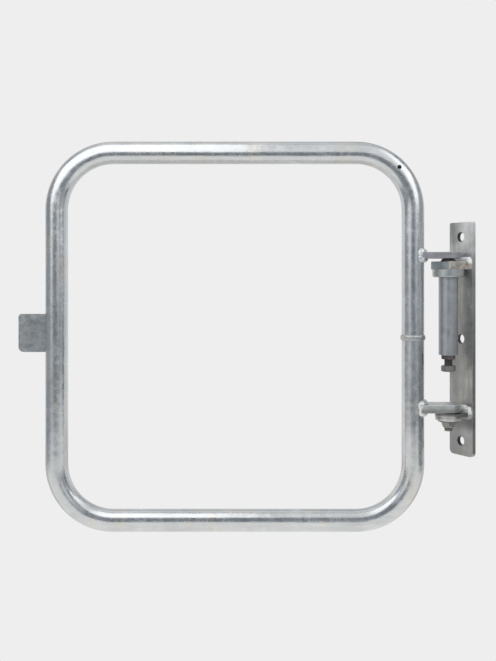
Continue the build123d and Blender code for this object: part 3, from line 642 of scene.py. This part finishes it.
M = {
    "tube": zinc("galvanised_tube_mat", 0.66, cool=(0.97, 1.0, 1.03), warm=(1.02, 1.0, 0.965), rough=0.25, seed=1.0, streak="hoop", mottle=0.14, wave=0.20, grain=0.04, spots=0.25, salt=0.2, pimples=0.0001),
    "plate": zinc("galvanised_plate_mat", 0.535, cool=(0.97, 1.0, 0.98), warm=(1.02, 1.0, 0.93), rough=0.46, seed=4.0, streak="up", mottle=0.22, warmth=0.6, extra=plate_extra),
    "lug": zinc("lug_mat", 0.55, cool=(0.92, 1.0, 1.04), rough=0.46, seed=6.0, mottle=0.24, extra=lug_extra),
    # painted shade: the lower lug's zinc is made far darker than the upper lug's, for the shade under the lower arm;
    # its nose gets painted light in low_lug_extra
    "lug_low": zinc("lower_lug_mat", 0.26, cool=(0.97, 1.0, 1.0), rough=0.48, seed=7.0, mottle=0.2, extra=low_lug_extra),
    "arm": zinc("arm_mat", 0.40, cool=(0.97, 0.98, 1.06), warm=(1.03, 0.99, 0.97), rough=0.42, seed=9.0, mottle=0.16),
    "arm_low": zinc("lower_arm_mat", 0.57, cool=(0.97, 1.0, 1.0), warm=(1.03, 1.0, 0.95), rough=0.42, seed=10.0, mottle=0.16, extra=low_arm_extra),
    "stop": zinc("stop_plate_mat", 0.49, cool=(0.95, 1.0, 1.05), rough=0.45, seed=11.0, mottle=0.24),
    "housing": zinc("housing_mat", 0.475, cool=(0.95, 0.99, 1.04), warm=(1.04, 0.97, 0.95), rough=0.46, seed=13.0, streak="up", mottle=0.16, warmth=0.4),
    "collar": zinc("collar_mat", 0.54, cool=(0.95, 1.0, 1.02), rough=0.40, seed=14.0, mottle=0.22),
    "weld": zinc("weld_mat", 0.74, cool=(0.95, 1.0, 1.03), warm=(1.0, 1.0, 0.98), rough=0.32, metallic=0.7, seed=17.0, mottle=0.16, wave=0.0, grain=0.2),
    "lug_weld": zinc("lug_weld_mat", 0.90, cool=(0.99, 1.0, 1.0), warm=(1.0, 0.99, 0.96), rough=0.42, metallic=0.25, seed=19.0, mottle=0.14, wave=0.0, grain=0.2, extra=lug_weld_extra),
    "ring": zinc("joint_weld_mat", 0.52, cool=(0.97, 1.0, 1.03), rough=0.44, seed=18.0, mottle=0.2, wave=0.0, grain=0.3),
    "bolt": steel("bolt_mat", (0.30, 0.285, 0.285), rough=0.42, seed=2.0, stained=0.35),
    "dark_bolt": steel("dark_bolt_mat", (0.19, 0.178, 0.184), rough=0.45, seed=3.0, stained=0.3),
    "zinc_nut": steel("lower_nut_mat", (0.36, 0.36, 0.34), rough=0.38, seed=5.0, stain=(0.25, 0.20, 0.15), stained=0.35),
    "washer": steel("washer_mat", (0.70, 0.69, 0.67), rough=0.36, seed=8.0, stain=(0.40, 0.35, 0.28), stained=0.25),
    "dull_washer": steel("small_washer_mat", (0.22, 0.22, 0.21), rough=0.45, seed=6.0, stained=0.35),
    "shaft": steel("shaft_mat", (0.42, 0.42, 0.42), rough=0.28, seed=9.0, stained=0.15, lines=1.0),
    "spacer": steel("spacer_mat", (0.34, 0.33, 0.32), rough=0.5, seed=11.0, stained=0.4),
    "bronze": steel("bronze_mat", (0.50, 0.33, 0.16), rough=0.4, seed=12.0, stain=(0.22, 0.15, 0.08), stained=0.3, lines=1.0),
    "spring": steel("spring_mat", (0.12, 0.12, 0.13), rough=0.36, seed=14.0, stained=0.2),
    "nylon": steel("nylon_mat", (0.62, 0.62, 0.56), rough=0.5, metallic=0.0, seed=15.0, stain=(0.4, 0.36, 0.28), stained=0.3),
}
USE = {
    "hoop_tube": "tube", "mounting_plate": "plate", "upper_lug": "lug", "lower_lug": "lug_low", "upper_arm": "arm",
    "lower_arm": "arm_low", "stop_plate": "stop", "spring_housing": "housing", "housing_collar": "collar",
    "housing_end_plug": "bolt", "hoop_joint_weld": "ring", "upper_arm_weld": "weld", "lower_arm_weld": "weld",
    "upper_lug_weld": "lug_weld", "lower_lug_weld": "lug_weld", "stop_plate_weld": "weld", "tension_bolt": "bolt",
    "tension_lock_nut": "bolt", "lower_lock_nut": "zinc_nut", "lower_pivot_stud": "zinc_nut", "lower_washer": "washer",
    "lower_small_washer": "dull_washer",
    "lower_thrust_washer": "washer", "hinge_shaft": "shaft", "spring_anchor_pin": "shaft", "spring_winder": "shaft",
    "upper_spacer": "spacer", "upper_bush": "bronze", "lower_bush": "bronze", "torsion_spring": "spring",
    "lock_nut_insert": "nylon",
}
for name, ob in nodes.items():
    mat = M[USE[name]]
    ob.data.materials.clear()
    ob.data.materials.append(mat)
for ob in bpy.data.objects:
    if ob.type != "MESH" or ob.data.materials:
        continue
    n = ob.name
    key = ("ring" if "joint" in n else "lug_weld" if "lug_weld" in n else "weld" if "weld" in n else "bolt" if n == "tension_bolt_head"
           else "dark_bolt" if n.startswith("tension") else "zinc_nut")
    ob.data.materials.append(M[key])

# ----------------------------------------------------------------------- stage
me = bpy.data.meshes.new("floor")
s = 9.0
me.from_pydata([(-s, -s, 0), (s, -s, 0), (s, s, 0), (-s, s, 0)], [], [(0, 1, 2, 3)])
floor = bpy.data.objects.new("floor", me)
floor.location = (0, 0, CAD_BOX[0][2] - 0.55)
bpy.context.scene.collection.objects.link(floor)
fm = bpy.data.materials.new("pale_floor")
fm.use_nodes = True
g = Graph(fm.node_tree)
fm.node_tree.nodes.clear()
em = g.node("ShaderNodeEmission")
em.inputs[0].default_value = (0.855, 0.855, 0.855, 1)
outp = g.node("ShaderNodeOutputMaterial")
fm.node_tree.links.new(em.outputs[0], outp.inputs[0])
me.materials.append(fm)
floor.visible_diffuse = False
floor.visible_glossy = False
floor.visible_shadow = False

# ---------------------------------------------------------------------- lights
w = bpy.data.worlds.new("studio")
bpy.context.scene.world = w
w.use_nodes = True
g = Graph(w.node_tree)
w.node_tree.nodes.clear()
D = g.node("ShaderNodeTexCoord").outputs["Generated"]
f, u, z = g.dot(D, FRONT), g.dot(D, -OUT), g.dot(D, UP)
az = g.math("ARCTAN2", u, f)


def times(*v):
    out = v[0]
    for x in v[1:]:
        out = g.math("MULTIPLY", out, x)
    return out


def plus(*v):
    out = v[0]
    for x in v[1:]:
        out = g.math("ADD", out, x)
    return out


level = g.smooth(g.math("ABSOLUTE", z), 0.50, 0.20)
side = g.math("ABSOLUTE", az)
over = times(g.smooth(z, 0.70, 0.92), 0.34)
high_back = times(g.smooth(z, 0.20, 0.60), g.smooth(f, 0.05, -0.40), g.smooth(u, -0.3, 0.3, 0.34, 0.22))
strip_a = times(g.bump_at(az, -0.73, 0.42), level, g.smooth(z, -0.17, 0.08), 0.66)
strip_b = times(g.bump_at(az, 0.42, 0.42), level, g.smooth(z, -0.10, 0.10), 0.62)
wings = times(g.smooth(side, 0.15, 0.90), g.smooth(g.math("ABSOLUTE", z), 0.60, 0.30), 0.11)
right_mid = times(g.smooth(az, 0.70, 1.05), level, 0.10)
far_side = times(g.smooth(f, -0.30, -0.62), level, 0.42)
total = plus(over, high_back, strip_a, strip_b, wings, right_mid, far_side, 0.24)
bg = g.node("ShaderNodeBackground")
g.put(bg.inputs[0], g.mix(g.smooth(total, 0.28, 0.60), (0.90, 1.0, 1.10), (1.0, 1.0, 1.0)))
g.put(bg.inputs[1], total)
plain = g.node("ShaderNodeBackground")
plain.inputs[0].default_value = (0.855, 0.855, 0.855, 1)
lp = g.node("ShaderNodeLightPath")
mx = g.node("ShaderNodeMixShader")
w.node_tree.links.new(lp.outputs["Is Camera Ray"], mx.inputs[0])
w.node_tree.links.new(bg.outputs[0], mx.inputs[1])
w.node_tree.links.new(plain.outputs[0], mx.inputs[2])
wo = g.node("ShaderNodeOutputWorld")
w.node_tree.links.new(mx.outputs[0], wo.inputs[0])


def panel(name, corners, radiance, tint=(1.0, 1.0, 1.0)):
    """A glowing sheet the camera doesn't see. Corners are (right, front, height), from the gate's middle."""
    me = bpy.data.meshes.new(name)
    me.from_pydata([tuple(PIN + OUT * (0.3794 - a) + FRONT * b + UP * c) for a, b, c in corners], [], [(0, 1, 2, 3)])
    ob = bpy.data.objects.new(name, me)
    bpy.context.scene.collection.objects.link(ob)
    mat = bpy.data.materials.new(name + "_mat")
    mat.use_nodes = True
    mat.node_tree.nodes.clear()
    h = Graph(mat.node_tree)
    e = h.node("ShaderNodeEmission")
    e.inputs[0].default_value = (*tint, 1.0)
    e.inputs[1].default_value = radiance
    mat.node_tree.links.new(e.outputs[0], h.node("ShaderNodeOutputMaterial").inputs[0])
    me.materials.append(mat)
    ob.visible_camera = False
    ob.visible_shadow = False
    return ob


panel("softbox_left", [(-1.3, 0.81, 0.365), (0.0, 0.81, 0.365), (0.0, 0.05, 1.0), (-1.3, 0.05, 1.0)], 1.6)
panel("softbox_right", [(0.0, 0.81, 0.365), (0.55, 0.81, 0.365), (0.55, 0.05, 1.0), (0.0, 0.05, 1.0)], 0.84)
panel("softbox_far_right", [(0.55, 0.81, 0.365), (1.3, 0.81, 0.365), (1.3, 0.05, 1.0), (0.55, 0.05, 1.0)], 1.6)
panel("low_reflector", [(-1.0, -0.02, -0.375), (1.0, -0.02, -0.375), (1.0, 0.95, -0.375), (-1.0, 0.95, -0.375)], 0.92, (1.0, 0.995, 0.965))
panel("low_reflector_rear", [(-1.0, -1.0, -0.375), (1.0, -1.0, -0.375), (1.0, -0.02, -0.375), (-1.0, -0.02, -0.375)], 0.66, (1.0, 0.985, 0.94))
panel("rear_reflector", [(-0.9, -1.0, -0.375), (0.9, -1.0, -0.375), (0.9, -1.0, 0.30), (-0.9, -1.0, 0.30)], 0.80)
panel("inner_card", [(0.10, -0.03, -0.34), (0.10, -0.15, -0.34), (0.10, -0.15, 0.34), (0.10, -0.03, 0.34)], 0.85)
panel("dark_card", [(0.75, -0.02, -0.37), (0.75, 0.42, -0.37), (0.75, 0.42, -0.02), (0.75, -0.02, -0.02)], 0.22)

# ---------------------------------------------------------------------- camera
cam = bpy.data.cameras.new("cam")
co = bpy.data.objects.new("cam", cam)
bpy.context.scene.collection.objects.link(co)
co.location = PIN + OUT * 0.3794 - BACK * 1.648 + Vector((0, 0, 0.1222))
co.rotation_mode = "QUATERNION"
co.rotation_quaternion = BACK.to_track_quat("-Z", "Y")
cam.lens = 870 * 36 / 661
cam.sensor_width = 36
cam.shift_y = -55.5 / 661
bpy.context.scene.camera = co
bpy.context.scene.view_settings.view_transform = "Standard"
